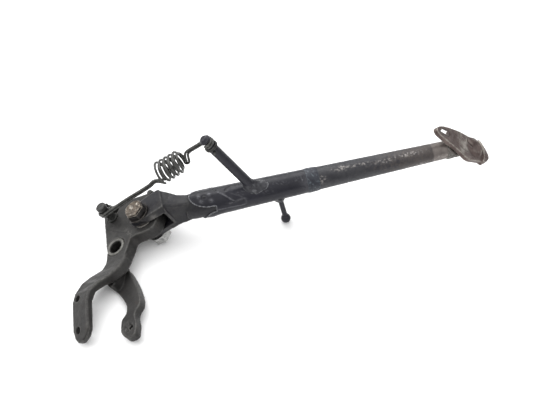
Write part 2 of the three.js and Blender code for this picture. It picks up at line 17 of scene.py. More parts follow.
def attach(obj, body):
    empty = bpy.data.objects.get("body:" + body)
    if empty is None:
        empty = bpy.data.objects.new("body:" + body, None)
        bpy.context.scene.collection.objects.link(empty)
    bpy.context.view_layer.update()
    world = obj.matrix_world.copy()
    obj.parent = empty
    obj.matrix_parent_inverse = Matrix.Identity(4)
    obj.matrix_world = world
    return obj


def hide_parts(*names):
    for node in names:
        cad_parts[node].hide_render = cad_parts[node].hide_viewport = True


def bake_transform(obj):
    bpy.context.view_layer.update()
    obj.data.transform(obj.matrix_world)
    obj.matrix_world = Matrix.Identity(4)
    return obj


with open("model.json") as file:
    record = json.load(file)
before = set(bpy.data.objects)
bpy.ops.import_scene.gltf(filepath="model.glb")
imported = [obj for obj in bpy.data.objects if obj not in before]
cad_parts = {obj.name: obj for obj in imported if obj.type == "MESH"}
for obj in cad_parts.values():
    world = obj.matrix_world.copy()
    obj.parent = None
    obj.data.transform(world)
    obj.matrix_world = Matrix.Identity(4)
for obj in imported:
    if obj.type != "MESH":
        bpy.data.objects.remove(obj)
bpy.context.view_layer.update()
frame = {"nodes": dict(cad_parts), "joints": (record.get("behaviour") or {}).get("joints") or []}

# ------------------------------------------------------------------ frames and sizes

MM = 0.001
JOINTS = {joint["name"]: joint for joint in frame["joints"]}
PIVOT = Vector(JOINTS["leg_swing"]["pos_m"])
PIVOT_AXIS = Vector(JOINTS["leg_swing"]["axis"]).normalized()
SPRING_ALONG = Vector(JOINTS["spring_reach"]["axis"]).normalized()
SPRING_START = Vector(JOINTS["spring_swing"]["pos_m"])
ROW_Y = Vector((0, 1, 0))

LEG_TURN = 14.5  # degrees from the plate's X to the folded leg
LEG_DROP = 25.1  # degrees that the tube bends down from the ears
TUBE_START = (41.5, 0, -11)  # in the leg's frame
TUBE_LENGTH = 251
TUBE_JOINT = 113  # along the tube, where the two tapers meet
TUBE_WALL = 2.8
TUBE_RADII = (13.4, 11.2, 11, 8.4)  # start, joint, joint of the lower tube, end
FOOT_START = (268.7, 0, -91)  # in the leg's frame
FOOT_ALONG = Vector((0.338, 0, -0.94)).normalized()
FOOT_NORMAL = Vector((0.874, -0.372, 0.314)).normalized()
STUD_HOOK = Vector((-37.6, 16, 19))  # where the springs hook on the stud, in the plate's frame
STUD_RADIUS = 4.4
POST_REACH = 93.8  # from the pivot to the post, along the leg
POST_HOOK_RISE = 40.6  # height of the post's groove over the leg's middle plane
POST_RADIUS = 4.7
POST_NECK_RADIUS = 3.3
POST_LEAN_SIDE = 2.6  # degrees, to the leg's far side
POST_LEAN_BACK = 3.8  # degrees, up the leg towards the stud


def frame_matrix(origin, x, y, z):
    matrix = Matrix((x, y, z)).transposed().to_4x4()
    matrix.translation = origin
    return matrix


def turn(degrees, axis):
    return Matrix.Rotation(math.radians(degrees), 4, axis)


PLATE = frame_matrix(PIVOT, ROW_Y.cross(PIVOT_AXIS), ROW_Y, PIVOT_AXIS)
LEG = PLATE @ turn(LEG_TURN, "Z")
TUBE = LEG @ Matrix.Translation(Vector(TUBE_START) * MM) @ turn(LEG_DROP, "Y")
FOOT = LEG @ frame_matrix(
    Vector(FOOT_START) * MM, FOOT_ALONG, FOOT_NORMAL.cross(FOOT_ALONG), FOOT_NORMAL
)
POST_HOOK = Vector((POST_REACH, 0, POST_HOOK_RISE)) * MM
POST = (
    LEG @ Matrix.Translation(POST_HOOK) @ turn(-POST_LEAN_SIDE, "X") @ turn(-POST_LEAN_BACK, "Y")
    @ Matrix.Translation(-POST_HOOK)
)
SPRING_SIDE = PIVOT_AXIS.cross(SPRING_ALONG).normalized()
SPRING = frame_matrix(
    SPRING_START, SPRING_ALONG, SPRING_SIDE, SPRING_ALONG.cross(SPRING_SIDE)
)


def at(place, x, y, z):
    return place @ (Vector((x, y, z)) * MM)


def local(place):
    """A function that gives a row-frame point in this frame's millimetres."""
    inverse = place.inverted()
    return lambda point: (inverse @ point) / MM


def smoothstep(low, high, value):
    share = min(1.0, max(0.0, (value - low) / (high - low)))
    return share * share * (3 - 2 * share)


def bump_at(distance, width):
    return math.exp(-((distance / width) ** 2))


def oval_distance(x, y, middle, size):
    """Distance from an oval's middle, with 1 at its edge."""
    return math.hypot((x - middle[0]) / size[0], (y - middle[1]) / size[1])


# ------------------------------------------------------------------ materials

# Near-black for dark pitting, and for painted shade in grooves, holes and hollows
PIT_AND_SHADE_BLACK = (0.006, 0.006, 0.006, 1)
SHINE = 0.32  # specular level of every worn metal
MASK_FADE = (0.3, 0.62)  # noise levels between which edge wear sets in


class Nodes:
    """Short names for building one material's node tree."""

    def __init__(self, name):
        self.material = bpy.data.materials.new(name)
        self.material.use_nodes = True
        self.tree = self.material.node_tree
        self.shader = self.tree.nodes["Principled BSDF"]
        self.point = self.add("ShaderNodeTexCoord").outputs["Object"]

    def add(self, kind, **settings):
        node = self.tree.nodes.new(kind)
        for key, value in settings.items():
            setattr(node, key, value)
        return node

    def link(self, source, target):
        if isinstance(source, (int, float, tuple)):
            target.default_value = source
        else:
            self.tree.links.new(source, target)

    def noise(self, scale, detail=5.0, roughness=0.6, distortion=0.0, point=None):
        node = self.add("ShaderNodeTexNoise")
        self.link(point or self.point, node.inputs["Vector"])
        for key, value in (
            ("Scale", scale), ("Detail", detail), ("Roughness", roughness), ("Distortion", distortion),
        ):
            node.inputs[key].default_value = value
        return node.outputs["Fac"]

    def spread(self, value, low, high, to_low=0.0, to_high=1.0):
        node = self.add("ShaderNodeMapRange", interpolation_type="SMOOTHSTEP")
        for key, item in enumerate((value, low, high, to_low, to_high)):
            self.link(item, node.inputs[key])
        return node.outputs["Result"]

    def mix(self, share, first, second):
        node = self.add("ShaderNodeMix", data_type="RGBA")
        self.link(share, node.inputs["Factor"])
        self.link(first, node.inputs[6])
        self.link(second, node.inputs[7])
        return node.outputs[2]

    def math(self, operation, first, second=0.0):
        node = self.add("ShaderNodeMath", operation=operation)
        self.link(first, node.inputs[0])
        self.link(second, node.inputs[1])
        return node.outputs["Value"]

    def attribute(self, name):
        return self.add("ShaderNodeAttribute", attribute_name=name).outputs["Fac"]

    def stretched(self, axis, amount):
        """Object coordinates squeezed along an axis, for streaks that run along it."""
        along = self.add("ShaderNodeVectorMath", operation="DOT_PRODUCT")
        self.link(self.point, along.inputs[0])
        along.inputs[1].default_value = axis
        scaled = self.add("ShaderNodeVectorMath", operation="SCALE")
        scaled.inputs[0].default_value = axis
        self.link(self.math("MULTIPLY", along.outputs["Value"], -amount), scaled.inputs["Scale"])
        total = self.add("ShaderNodeVectorMath", operation="ADD")
        self.link(self.point, total.inputs[0])
        self.link(scaled.outputs[0], total.inputs[1])
        return total.outputs[0]

    def bump(self, height, strength, distance):
        node = self.add("ShaderNodeBump")
        node.inputs["Strength"].default_value = strength
        node.inputs["Distance"].default_value = distance
        self.link(height, node.inputs["Height"])
        return node.outputs["Normal"]


def rgb(red, green, blue):
    """Linear colour from display values of 0 to 255."""
    channel = [
        v / 12.92 if v <= 0.04045 else ((v + 0.055) / 1.055) ** 2.4
        for v in (red / 255, green / 255, blue / 255)
    ]
    return (*channel, 1.0)


def worn_metal(
    name, dark, light, worn, metal, rough, patch, grain, relief,
    edge_wear=0.6, rust=None, rust_share=0.35, streak=None, specks=0.3,
):
    """Mottled metal or paint in display colours. `edge` and `worn` are wear masks on the mesh; a third mesh
    mask blackens pits and paints shade into grooves, holes and hollows.
    """
    n = Nodes(name)
    dark, light, worn = rgb(*dark), rgb(*light), rgb(*worn)
    patches = n.spread(n.noise(patch, 6, 0.62, 0.4), 0.36, 0.64)
    fine = n.noise(grain, 4, 0.7)
    colour = n.mix(patches, dark, light)
    colour = n.mix(n.spread(fine, 0.3, 0.75, 0, 0.45), colour, light)
    if rust is not None:
        rust_mask = n.spread(n.noise(patch * 1.7, 8, 0.7, 1.2), 0.55, 0.72, 0, rust_share)
        colour = n.mix(rust_mask, colour, rgb(*rust))
    if streak is not None:
        lines = n.noise(grain * 1.3, 3, 0.6, 0, n.stretched(streak, 0.94))
        line_mask = n.spread(lines, 0.6, 0.8, 0, 0.35)
        colour = n.mix(line_mask, colour, worn)
    ragged = n.noise(grain * 0.45, 5, 0.75, 0.6)
    edge = n.math("MULTIPLY", n.attribute("edge"), n.spread(ragged, *MASK_FADE))
    spots = n.spread(n.noise(grain * 0.6, 3, 0.8, 0.2), 0.68, 0.76, 0, specks)
    scuffs = n.math("MULTIPLY", n.attribute("worn"), n.spread(ragged, 0.26, 0.6))
    mask = n.math("MAXIMUM", n.math("MULTIPLY", edge, edge_wear), n.math("MAXIMUM", spots, scuffs))
    colour = n.mix(mask, colour, worn)
    # Blackens the mesh's third mask: dark pitting, and painted shade in grooves, holes and hollows
    pitting_and_shade_mask = n.attribute("pitting_and_shade")
    colour = n.mix(pitting_and_shade_mask, colour, PIT_AND_SHADE_BLACK)
    n.shader.inputs["Specular IOR Level"].default_value = SHINE
    n.link(colour, n.shader.inputs["Base Color"])
    n.link(n.spread(mask, 0, 1, *metal), n.shader.inputs["Metallic"])
    n.link(n.spread(n.noise(patch * 3, 4, 0.6), 0.3, 0.7, *rough), n.shader.inputs["Roughness"])
    height = n.math("ADD", n.math("MULTIPLY", fine, 0.5), n.noise(grain * 0.3, 4, 0.65))
    n.link(n.bump(height, relief, 0.0005), n.shader.inputs["Normal"])
    return n.material


TUBE_AXIS = tuple(TUBE.to_3x3() @ Vector((1, 0, 0)))
FOOT_AXIS = tuple(FOOT.to_3x3() @ Vector((1, 0, 0)))
SPRING_AXIS = tuple(SPRING_ALONG)
BARE_LENGTH = 19  # bare steel at the foot's end of the lower tube
BARE_FADE = 2


def lower_tube_paint():
    """Black paint that wears to brown-grey steel towards the foot."""
    n = Nodes("lower_tube_paint")
    along = n.add("ShaderNodeVectorMath", operation="DOT_PRODUCT")
    n.link(n.point, along.inputs[0])
    along.inputs[1].default_value = TUBE_AXIS
    start = Vector(TUBE_AXIS).dot(TUBE.translation)
    joint = start + TUBE_JOINT * MM
    end = start + TUBE_LENGTH * MM
    distance = along.outputs["Value"]
    share = n.spread(distance, joint, end)
    paint = n.mix(n.spread(n.noise(90, 6, 0.65, 0.5), 0.36, 0.66), rgb(20, 20, 28), rgb(40, 40, 44))
    brown = n.mix(n.noise(240, 6, 0.7), rgb(56, 51, 50), rgb(90, 83, 79))
    ragged = n.noise(420, 7, 0.75, 0.8)
    worn_share = n.math("ADD", n.math("MULTIPLY", share, 0.34), n.math("MULTIPLY", ragged, 0.8))
    wear = n.spread(worn_share, 0.5, 0.74)
    colour = n.mix(n.math("MULTIPLY", wear, 0.85), paint, brown)
    bare_start = end - BARE_LENGTH * MM
    ragged_distance = n.math("ADD", distance, n.math("MULTIPLY", ragged, 0.006))
    bare = n.spread(ragged_distance, bare_start, bare_start + BARE_FADE * MM)
    steel = n.mix(n.noise(160, 5, 0.6, 0.6), rgb(82, 76, 74), rgb(140, 133, 128))
    colour = n.mix(n.math("MULTIPLY", bare, 0.8), colour, steel)
    scuffs = n.math("MULTIPLY", n.attribute("worn"), n.spread(n.noise(700, 5, 0.8, 0.5), 0.42, 0.6))
    colour = n.mix(scuffs, colour, rgb(165, 160, 156))
    n.link(colour, n.shader.inputs["Base Color"])
    mask = n.math("MAXIMUM", bare, n.math("MAXIMUM", scuffs, n.math("MULTIPLY", wear, 0.5)))
    n.link(n.spread(mask, 0, 1, 0.1, 0.75), n.shader.inputs["Metallic"])
    n.link(n.spread(ragged, 0.3, 0.7, 0.36, 0.56), n.shader.inputs["Roughness"])
    n.link(n.bump(n.noise(520, 6, 0.7), 0.4, 0.0006), n.shader.inputs["Normal"])
    return n.material


# Each metal: dark, light and worn colour, metallic from unworn to worn, roughness range, scale of
# the patches, scale of the grain, relief.
FORGED = worn_metal(
    "forged_skin", (37, 36, 36), (52, 51, 50), (100, 99, 96), (0.35, 0.7),
    (0.42, 0.6), 55, 1100, 0.35, edge_wear=0.55, rust=(64, 50, 44),
    rust_share=0.25, specks=0.12,
)
STUD_STEEL = worn_metal(
    "stud_steel", (37, 37, 37), (58, 58, 57), (101, 101, 99), (0.4, 0.75),
    (0.4, 0.6), 260, 1500, 0.4, edge_wear=0.5,
)
SATIN_BLACK = worn_metal(
    "satin_black_paint", (15, 15, 24), (25, 25, 34), (104, 104, 108), (0.05, 0.7),
    (0.3, 0.46), 60, 900, 0.22, edge_wear=0.45, specks=0.1,
)
CLEVIS_BLACK = worn_metal(
    "clevis_black_paint", (18, 18, 26), (36, 35, 36), (118, 116, 113), (0.08, 0.7),
    (0.34, 0.5), 45, 800, 0.3, edge_wear=0.5, rust=(55, 52, 45),
    rust_share=0.4, specks=0.08,
)
WELD_BLACK = worn_metal(
    "painted_weld", (30, 30, 36), (54, 54, 58), (140, 141, 144), (0.1, 0.6),
    (0.34, 0.55), 160, 1300, 0.5, edge_wear=0.7,
)
JOINT_BLACK = worn_metal(
    "dressed_joint", (26, 27, 36), (46, 49, 56), (112, 120, 126), (0.1, 0.5),
    (0.34, 0.55), 120, 1000, 0.4, edge_wear=0.4, specks=0.3,
)
RUSTED = worn_metal(
    "worn_hex_head", (62, 55, 50), (98, 89, 79), (176, 170, 160), (0.55, 0.9),
    (0.38, 0.62), 230, 900, 0.7, edge_wear=0.8, rust=(81, 64, 49),
    rust_share=0.8, specks=0.5,
)
DARK_HEAD = worn_metal(
    "dark_hex_flanks", (22, 21, 20), (37, 34, 34), (93, 88, 83), (0.4, 0.8),
    (0.4, 0.6), 200, 1100, 0.5, edge_wear=0.7,
)
ZINC = worn_metal(
    "zinc_plate", (120, 120, 119), (169, 169, 167), (194, 194, 193), (0.9, 0.95),
    (0.24, 0.44), 180, 1400, 0.25, edge_wear=0.6, rust=(103, 96, 88),
    rust_share=0.3,
)
BRONZE = worn_metal(
    "bearing_bronze", (120, 92, 58), (160, 126, 82), (196, 168, 122), (0.9, 0.95),
    (0.3, 0.46), 180, 1200, 0.2,
)
SPRING_STEEL = worn_metal(
    "spring_wire", (50, 50, 48), (84, 84, 82), (134, 134, 130), (0.5, 0.8),
    (0.28, 0.44), 240, 1500, 0.2, edge_wear=0.2, streak=SPRING_AXIS,
)
PIN_STEEL = worn_metal(
    "pin_steel", (33, 33, 33), (56, 56, 55), (100, 100, 98), (0.5, 0.8),
    (0.4, 0.58), 260, 1500, 0.3,
)
BARE_STEEL = worn_metal(
    "bare_steel", (69, 67, 65), (104, 100, 96), (156, 153, 148), (0.7, 0.9),
    (0.36, 0.55), 130, 900, 0.35, edge_wear=0.7, rust=(87, 71, 60),
    rust_share=0.35,
)
FOOT_STEEL = worn_metal(
    "worn_foot_steel", (72, 60, 58), (102, 91, 87), (176, 172, 164), (0.72, 0.9),
    (0.36, 0.54), 75, 850, 0.4, edge_wear=0.85, rust=(96, 81, 74),
    rust_share=0.5, streak=FOOT_AXIS, specks=0.2,
)
INSERT_STEEL = worn_metal(
    "insert_ring", (63, 62, 60), (90, 89, 86), (134, 133, 128), (0.6, 0.85),
    (0.42, 0.6), 240, 1300, 0.4, edge_wear=0.5,
)
THREAD_STEEL = worn_metal(
    "dark_thread", (27, 26, 25), (48, 46, 44), (78, 76, 73), (0.4, 0.7),
    (0.5, 0.7), 260, 1300, 0.5, edge_wear=0.6,
)
LOWER_PAINT = lower_tube_paint()

# ------------------------------------------------------------------ mesh helpers


def new_object(name, mesh, finish):
    obj = bpy.data.objects.new(name, mesh)
    bpy.context.scene.collection.objects.link(obj)
    mesh.materials.clear()
    mesh.materials.append(finish)
    return obj


def from_bmesh(name, shape, finish):
    bmesh.ops.recalc_face_normals(shape, faces=shape.faces)
    mesh = bpy.data.meshes.new(name)
    shape.to_mesh(mesh)
    shape.free()
    return new_object(name, mesh, finish)


def modify(obj, kind, **settings):
    modifier = obj.modifiers.new(kind.lower(), kind)
    for key, value in settings.items():
        setattr(modifier, key, value)
    return modifier


def bake_modifiers(obj):
    bpy.context.view_layer.update()
    graph = bpy.context.evaluated_depsgraph_get()
    mesh = bpy.data.meshes.new_from_object(obj.evaluated_get(graph))
    obj.modifiers.clear()
    obj.data = mesh


def set_attribute(mesh, name, values):
    attribute = mesh.attributes.get(name) or mesh.attributes.new(name, "FLOAT", "POINT")
    attribute.data.foreach_set("value", np.asarray(values, np.float32))


def read_array(items, name, width, kind):
    values = np.zeros(len(items) * width, kind)
    items.foreach_get(name, values)
    return values.reshape(-1, width)


def mark_edges(obj, passes=2, gain=1.0):
    """Keeps how sharply the surface turns outwards at each vertex as the `edge` mask."""
    mesh = obj.data
    count = len(mesh.vertices)
    points = read_array(mesh.vertices, "co", 3, float)
    normals = read_array(mesh.vertices, "normal", 3, float)
    pairs = read_array(mesh.edges, "vertices", 2, np.int64)
    first, second = pairs.T
    degree = np.bincount(pairs.ravel(), minlength=count).clip(1)

    def neighbours(values):
        total = np.zeros_like(values)
        np.add.at(total, first, values[second])
        np.add.at(total, second, values[first])
        return total / (degree[:, None] if values.ndim > 1 else degree)

    step = np.linalg.norm(points[first] - points[second], axis=1).mean()
    turned = -np.einsum("ij,ij->i", neighbours(points) - points, normals) / step
    for _ in range(passes):
        turned = 0.5 * turned + 0.5 * neighbours(turned)
    set_attribute(mesh, "edge", np.clip(turned * 9 * gain - 0.15, 0, 1))


def finish_piece(obj, body, slot, nodes=(), edges=True, **edge_settings):
    """Smooth shading, masks, the body that it rides on and the CAD nodes that it stands for."""
    obj.data.shade_smooth()
    if edges:
        mark_edges(obj, **edge_settings)
    if body is not None:
        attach(obj, body)
    if nodes:
        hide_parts(*nodes)
    return obj


def sculpt(obj, shaper):
    """Moves each vertex along its normal. `shaper(point, normal)` gives millimetres, the worn mask, and a
    mask of dark pitting and painted shade in grooves, holes and hollows.
    """
    mesh = obj.data
    normals = [vertex.normal.copy() for vertex in mesh.vertices]
    worn, pitting_and_shade_mask = [], []
    for vertex, normal in zip(mesh.vertices, normals):
        height, wear, pitting_and_shade = shaper(vertex.co, normal)
        vertex.co += normal * height * MM
        worn.append(wear)
        pitting_and_shade_mask.append(pitting_and_shade)
    set_attribute(mesh, "worn", worn)
    set_attribute(mesh, "pitting_and_shade", pitting_and_shade_mask)
    mesh.update()


def remeshed(name, nodes, finish, voxel, smoothing, extra=None):
    """A fine skin over CAD nodes: voxel remesh, then smoothing that rounds every edge."""
    shape = bmesh.new()
    for node in nodes:
        shape.from_mesh(frame["nodes"][node].data)
    if extra is not None:
        extra(shape)
    bmesh.ops.remove_doubles(shape, verts=shape.verts, dist=0.00001)
    obj = from_bmesh(name, shape, finish)
    modify(obj, "REMESH", mode="VOXEL", voxel_size=voxel * MM)
    modify(obj, "SMOOTH", factor=0.5, iterations=smoothing)
    bake_modifiers(obj)
    obj.data.materials.clear()
    obj.data.materials.append(finish)
    return obj


def skin(rings, closed_ends=True):
    """bmesh over a row of rings with the same number of points."""
    shape = bmesh.new()
    rows = [[shape.verts.new(point) for point in ring] for ring in rings]
    sides = len(rings[0])
    for lower, upper in zip(rows, rows[1:]):
        for i in range(sides):
            j = (i + 1) % sides
            shape.faces.new((lower[i], lower[j], upper[j], upper[i]))
    if closed_ends:
        for row in (rows[0], rows[-1]):
            middle = shape.verts.new(sum((v.co for v in row), Vector()) / sides)
            for i in range(sides):
                shape.faces.new((row[i], row[(i + 1) % sides], middle))
    return shape


def join_shape(shape, extra):
    """Adds one bmesh to another and frees it."""
    mesh = bpy.data.meshes.new("joined")
    extra.to_mesh(mesh)
    extra.free()
    shape.from_mesh(mesh)
    bpy.data.meshes.remove(mesh)


def lathe(place, profile, segments):
    """bmesh turned about the place's Z axis from (radius, height) pairs in millimetres."""
    rings = []
    for radius, height in profile:
        rings.append([
            at(place, radius * math.cos(a), radius * math.sin(a), height)
            for a in (2 * math.pi * i / segments for i in range(segments))
        ])
    return skin(rings)


def spline(points, step):
    """Points along a smooth curve (centripetal Catmull-Rom) through the given ones."""
    points = [Vector(p) for p in points]
    padded = [points[0] * 2 - points[1], *points, points[-1] * 2 - points[-2]]
    result = []
    for p0, p1, p2, p3 in zip(padded, padded[1:], padded[2:], padded[3:]):
        t0 = 0.0
        t1 = t0 + max((p1 - p0).length, 1e-9) ** 0.5
        t2 = t1 + max((p2 - p1).length, 1e-9) ** 0.5
        t3 = t2 + max((p3 - p2).length, 1e-9) ** 0.5
        count = max(2, round((p2 - p1).length / step))
        for i in range(count):
            t = t1 + (t2 - t1) * i / count
            a1 = p0.lerp(p1, (t - t0) / (t1 - t0))
            a2 = p1.lerp(p2, (t - t1) / (t2 - t1))
            a3 = p2.lerp(p3, (t - t2) / (t3 - t2))
            b1 = a1.lerp(a2, (t - t0) / (t2 - t0))
            b2 = a2.lerp(a3, (t - t1) / (t3 - t1))
            result.append(b1.lerp(b2, (t - t1) / (t2 - t1)))
    result.append(points[-1])
    return result


def sweep(points, radius, sides=12):
    """bmesh of a round bar along the points. `radius(share)` is in metres."""
    tangents = []
    for i in range(len(points)):
        ahead, behind = points[min(i + 1, len(points) - 1)], points[max(i - 1, 0)]
        tangents.append((ahead - behind).normalized())
    across = tangents[0].orthogonal().normalized()
    rings = []
    for i, (point, tangent) in enumerate(zip(points, tangents)):
        across = (across - tangent * across.dot(tangent)).normalized()
        up = tangent.cross(across)
        size = radius(i / (len(points) - 1))
        rings.append([
            point + (across * math.cos(a) + up * math.sin(a)) * size
            for a in (2 * math.pi * k / sides for k in range(sides))
        ])
    return skin(rings)


def rough_noise(point, size, seed=0.0):
    """Smooth noise of about -1 to 1, with features of the given size in millimetres."""
    return noise.noise(point / (size * MM) + Vector((seed, seed * 1.7, -seed)))


def dented(size, amount, seed=0.0):
    """A sculpting rule for an uneven surface."""
    def shaper(point, normal):
        height = rough_noise(point, size, seed) + 0.4 * rough_noise(point, size * 0.4, seed + 3)
        return amount * height, 0, 0
    return shaper


def weld_skin(size, coarse, fine, wear=0.35, wear_from=0.2, wear_size=2.6):
    """A sculpting rule for a weld's lumpy, lightly worn surface."""
    def shaper(point, normal):
        height = coarse * rough_noise(point, size, 3) + fine * rough_noise(point, 0.9, 5)
        return height, wear * smoothstep(wear_from, 0.6, rough_noise(point, wear_size, 8)), 0
    return shaper


def build_plain(name, node, finish, body, slot, voxel, smoothing, dents):
    """A remeshed CAD node with an uneven surface."""
    obj = remeshed(name, [node], finish, voxel, smoothing)
    sculpt(obj, dented(*dents))
    finish_piece(obj, body, slot, [node])


def ribbon_distance(points):
    """Distance in a plane from (x, y) to a row of points, and the share of the way along it."""
    def measure(x, y):
        best, share = 1e9, 0.0
        count = len(points) - 1
        for i, ((ax, ay), (bx, by)) in enumerate(zip(points, points[1:])):
            dx, dy = bx - ax, by - ay
            t = min(1.0, max(0.0, ((x - ax) * dx + (y - ay) * dy) / (dx * dx + dy * dy)))
            distance = math.hypot(x - ax - t * dx, y - ay - t * dy)
            if distance < best:
                best, share = distance, (i + t) / count
        return best, share
    return measure


# ------------------------------------------------------------------ bracket forging

# A shallow groove across the plate's face, and chips beside the bolt: x, y, size.
FACE_GROOVE = ribbon_distance([(-46, 5.4), (-24, -6.2), (-15.5, -9.5)])
PIVOT_CHIPS = ((-20.2, -4.4, 2.2), (-15.2, -11, 2.6), (-17.4, -8.4, 1.8), (-13.4, -14.2, 1.6))
BOSS_POCKET = (-16, -104.5)  # middle of the rough hollow on the hook's end
BOSS_POCKET_SIZE = (5.2, 6.6)
PLATE_FACE = (-26, 4)  # the face round the pivot has a larger y and a higher level
HOOK_END = (-30, -95, -5)  # the hook's end has a larger x, a smaller y and a lower level
PRONG_TIP = (-106, 3)  # the upper prong's tip has a smaller y and a higher level
PRONG_TAPER = 0.14  # millimetres thinner for each millimetre towards the tip
INSERT_PLACE = (-29.8, -20.9, 0)


def bracket_shape():
    to_plate = local(PLATE)
    up = PIVOT_AXIS

    def shaper(point, normal):
        a, b, c = to_plate(point)
        facing = normal.dot(up)
        height = 0.12 + 0.10 * rough_noise(point, 5, 1) + 0.05 * rough_noise(point, 1.8, 2)
        wear, pitting_and_shade = 0.0, 0.0
        if facing > 0.6 and b > PLATE_FACE[0] and c > PLATE_FACE[1]:
            distance, _ = FACE_GROOVE(a, b)
            height -= 0.28 * bump_at(distance, 0.7)
            # Painted shade along the bottom of the groove
            pitting_and_shade = 0.3 * bump_at(distance, 0.5)
            for x, y, size in PIVOT_CHIPS:
                near = bump_at(math.hypot(a - x, b - y), size)
                height -= 0.5 * near * (0.5 + rough_noise(point, 1.4, 5))
                wear = max(wear, 0.8 * near * smoothstep(-0.3, 0.5, rough_noise(point, 1.6, 8)))
        if a > HOOK_END[0] and b < HOOK_END[1] and c < HOOK_END[2]:
            near = oval_distance(a, b, BOSS_POCKET, BOSS_POCKET_SIZE)
            if facing > 0.3:
                rim = bump_at(near - 1.0, 0.28)
                bowl = 1 - smoothstep(0.35, 1.0, near)
                rough = rough_noise(point, 2.2, 9)
                height += 0.35 * rim - 1.5 * bowl + 0.5 * rough * smoothstep(1.3, 0.6, near)
                wear = max(wear, 0.9 * bowl * smoothstep(0.05, 0.5, rough_noise(point, 1.1, 4)))
                # Painted shade in the hollow's deeper spots
                pitting_and_shade = max(pitting_and_shade, 0.6 * bowl * smoothstep(0.1, 0.6, -rough))
        if c > PRONG_TIP[1] and facing > 0.3 and b < PRONG_TIP[0]:
            height -= PRONG_TAPER * (PRONG_TIP[0] - b)
        return height, wear, pitting_and_shade
    return shaper


def build_bracket():
    obj = remeshed("forged_bracket", ["bracket_forging"], FORGED, 0.7, 4)
    sculpt(obj, bracket_shape())
    finish_piece(obj, "bracket", "forged_steel", ["bracket_forging"], passes=3)


def build_insert():
    """Threaded ring: the thread is a row of fine grooves down the bore.

    The caps that skin() puts on both ends leave a disc across the bore near its lower end.
    """
    place = PLATE @ Matrix.Translation(Vector(INSERT_PLACE) * MM)
    bore, crest, outer, top, bottom, pitch = 6.25, 5.85, 9.4, 6.7, -6.2, 1.25
    profile = [
        (outer, bottom + 0.4), (outer, top - 0.7), (outer - 0.6, top - 0.1),
        (bore + 1.4, top), (bore + 0.5, top - 0.5),
    ]
    height = top - 1.0
    while height > bottom + pitch:
        profile += [(bore, height), (crest, height - pitch * 0.5)]
        height -= pitch
    profile += [(bore, bottom + 0.4), (bore + 0.6, bottom), (outer - 0.5, bottom)]
    shape = lathe(place, [*profile, profile[0]], 72)
    obj = from_bmesh("insert_ring", shape, INSERT_STEEL)
    obj.data.materials.append(THREAD_STEEL)
    to_place = local(place)
    for face in obj.data.polygons:
        spot = to_place(face.center)
        if math.hypot(spot.x, spot.y) < bore + 0.3:
            face.material_index = 1
    sculpt(obj, dented(2.2, 0.10, 6))
    finish_piece(obj, "bracket", "insert_steel", ["threaded_insert"], gain=0.6)


PIN_WIRE = 0.72  # radius of the looped eye's wire
PIN_LEGS = 1.25  # radius of the closed legs, as a share of the wire's
STUD_PIN_HEIGHT = 13
POST_PIN_HEIGHT = 32.1


def split_pin(name, place, points, eye, body, node):
    """Split pin: one tapered bar for its two closed legs, and a looped eye."""
    wire = PIN_WIRE * MM

    def legs_radius(share):
        tip = 1 if share < 0.9 else (1.05 - share) / 0.15
        return wire * PIN_LEGS * tip

    path = [at(place, *point) for point in points]
    shape = sweep(spline(path, 0.6 * MM), legs_radius, 12)
    loop = [at(place, *point) for point in eye]
    join_shape(shape, sweep(spline(loop, 0.4 * MM), lambda share: wire, 10))
    obj = from_bmesh(name, shape, PIN_STEEL)
    sculpt(obj, dented(1.5, 0.05, 2))
    finish_piece(obj, body, "dark_pin_steel", [node], gain=0.5)


def build_studs():
    stud_rows = (  # piece, node, finish, body, slot, voxel, smoothing, dents
        ("spring_stud_turned", "spring_stud", STUD_STEEL, "bracket", "forged_steel", 0.35, 5, (2.4, 0.10, 4)),
        ("stop_pin_riveted", "stop_pin", STUD_STEEL, "bracket", "forged_steel", 0.35, 6, (2.4, 0.12, 7)),
        ("spring_post_turned", "spring_post", SATIN_BLACK, "leg", "black_paint", 0.35, 6, (3.5, 0.06, 5)),
    )
    for row in stud_rows:
        build_plain(*row)
    pin_rows = (
        ("stud_pin", PLATE, (STUD_HOOK.x, STUD_HOOK.y, STUD_PIN_HEIGHT), "bracket", "stud_split_pin"),
        ("post_pin", POST, (POST_REACH, 0, POST_PIN_HEIGHT), "leg", "post_split_pin"),
    )
    for name, place, (x, y, z), body, node in pin_rows:
        legs = [
            (x, y + 7, z), (x, y + 2, z), (x, y - 5, z),
            (x - 0.4, y - 7.5, z - 0.3), (x - 1.4, y - 9, z - 1),
        ]
        eye = [
            (x + 1.6 * math.sin(t), y + 8.4 - 1.9 * math.cos(t), z + 1.4 * math.sin(t) * 0.2)
            for t in (2 * math.pi * i / 10 for i in range(11))
        ]
        split_pin(name, place, legs, eye, body, node)


# ------------------------------------------------------------------ pivot stack

EAR_GAP_TOP = 7.7  # the upper ear's lower face, over the pivot's middle
EAR_THICKNESS = 6.6
HEAD_WASHER = 1.6
HEAD_GAPS = 0.6  # clearances above and below the head's washer
HEAD_HEIGHT = 7.4
HEAD_TOP = EAR_GAP_TOP + EAR_THICKNESS + HEAD_GAPS + HEAD_WASHER + HEAD_HEIGHT
EAR_PATCH = (11.8, 9.5)  # x and z of the worn patch on the ear's near side
EAR_PATCH_SIZE = (3.6, 2.6)
EAR_NEAR_SIDE = -6


def head_shape():
    to_leg = local(LEG)

    def shaper(point, normal):
        x, y, z = to_leg(point)
        distance = math.hypot(x, y)
        height = 0.05 * rough_noise(point, 1.6, 3)
        wear = 0.0
        if z > HEAD_TOP - 2.2:
            battered = rough_noise(point, 3.2, 11) + 0.6 * rough_noise(point, 1.3, 12)
            height += 0.30 * battered - 0.5 * smoothstep(6.4, 9.6, distance)
            wear = smoothstep(0.1, 0.8, battered)
        pitting_and_shade = 0.7 * smoothstep(0.34, 0.62, -rough_noise(point, 1.7, 15)) if z > HEAD_TOP - 1.2 else 0
        return height, wear, pitting_and_shade
    return shaper


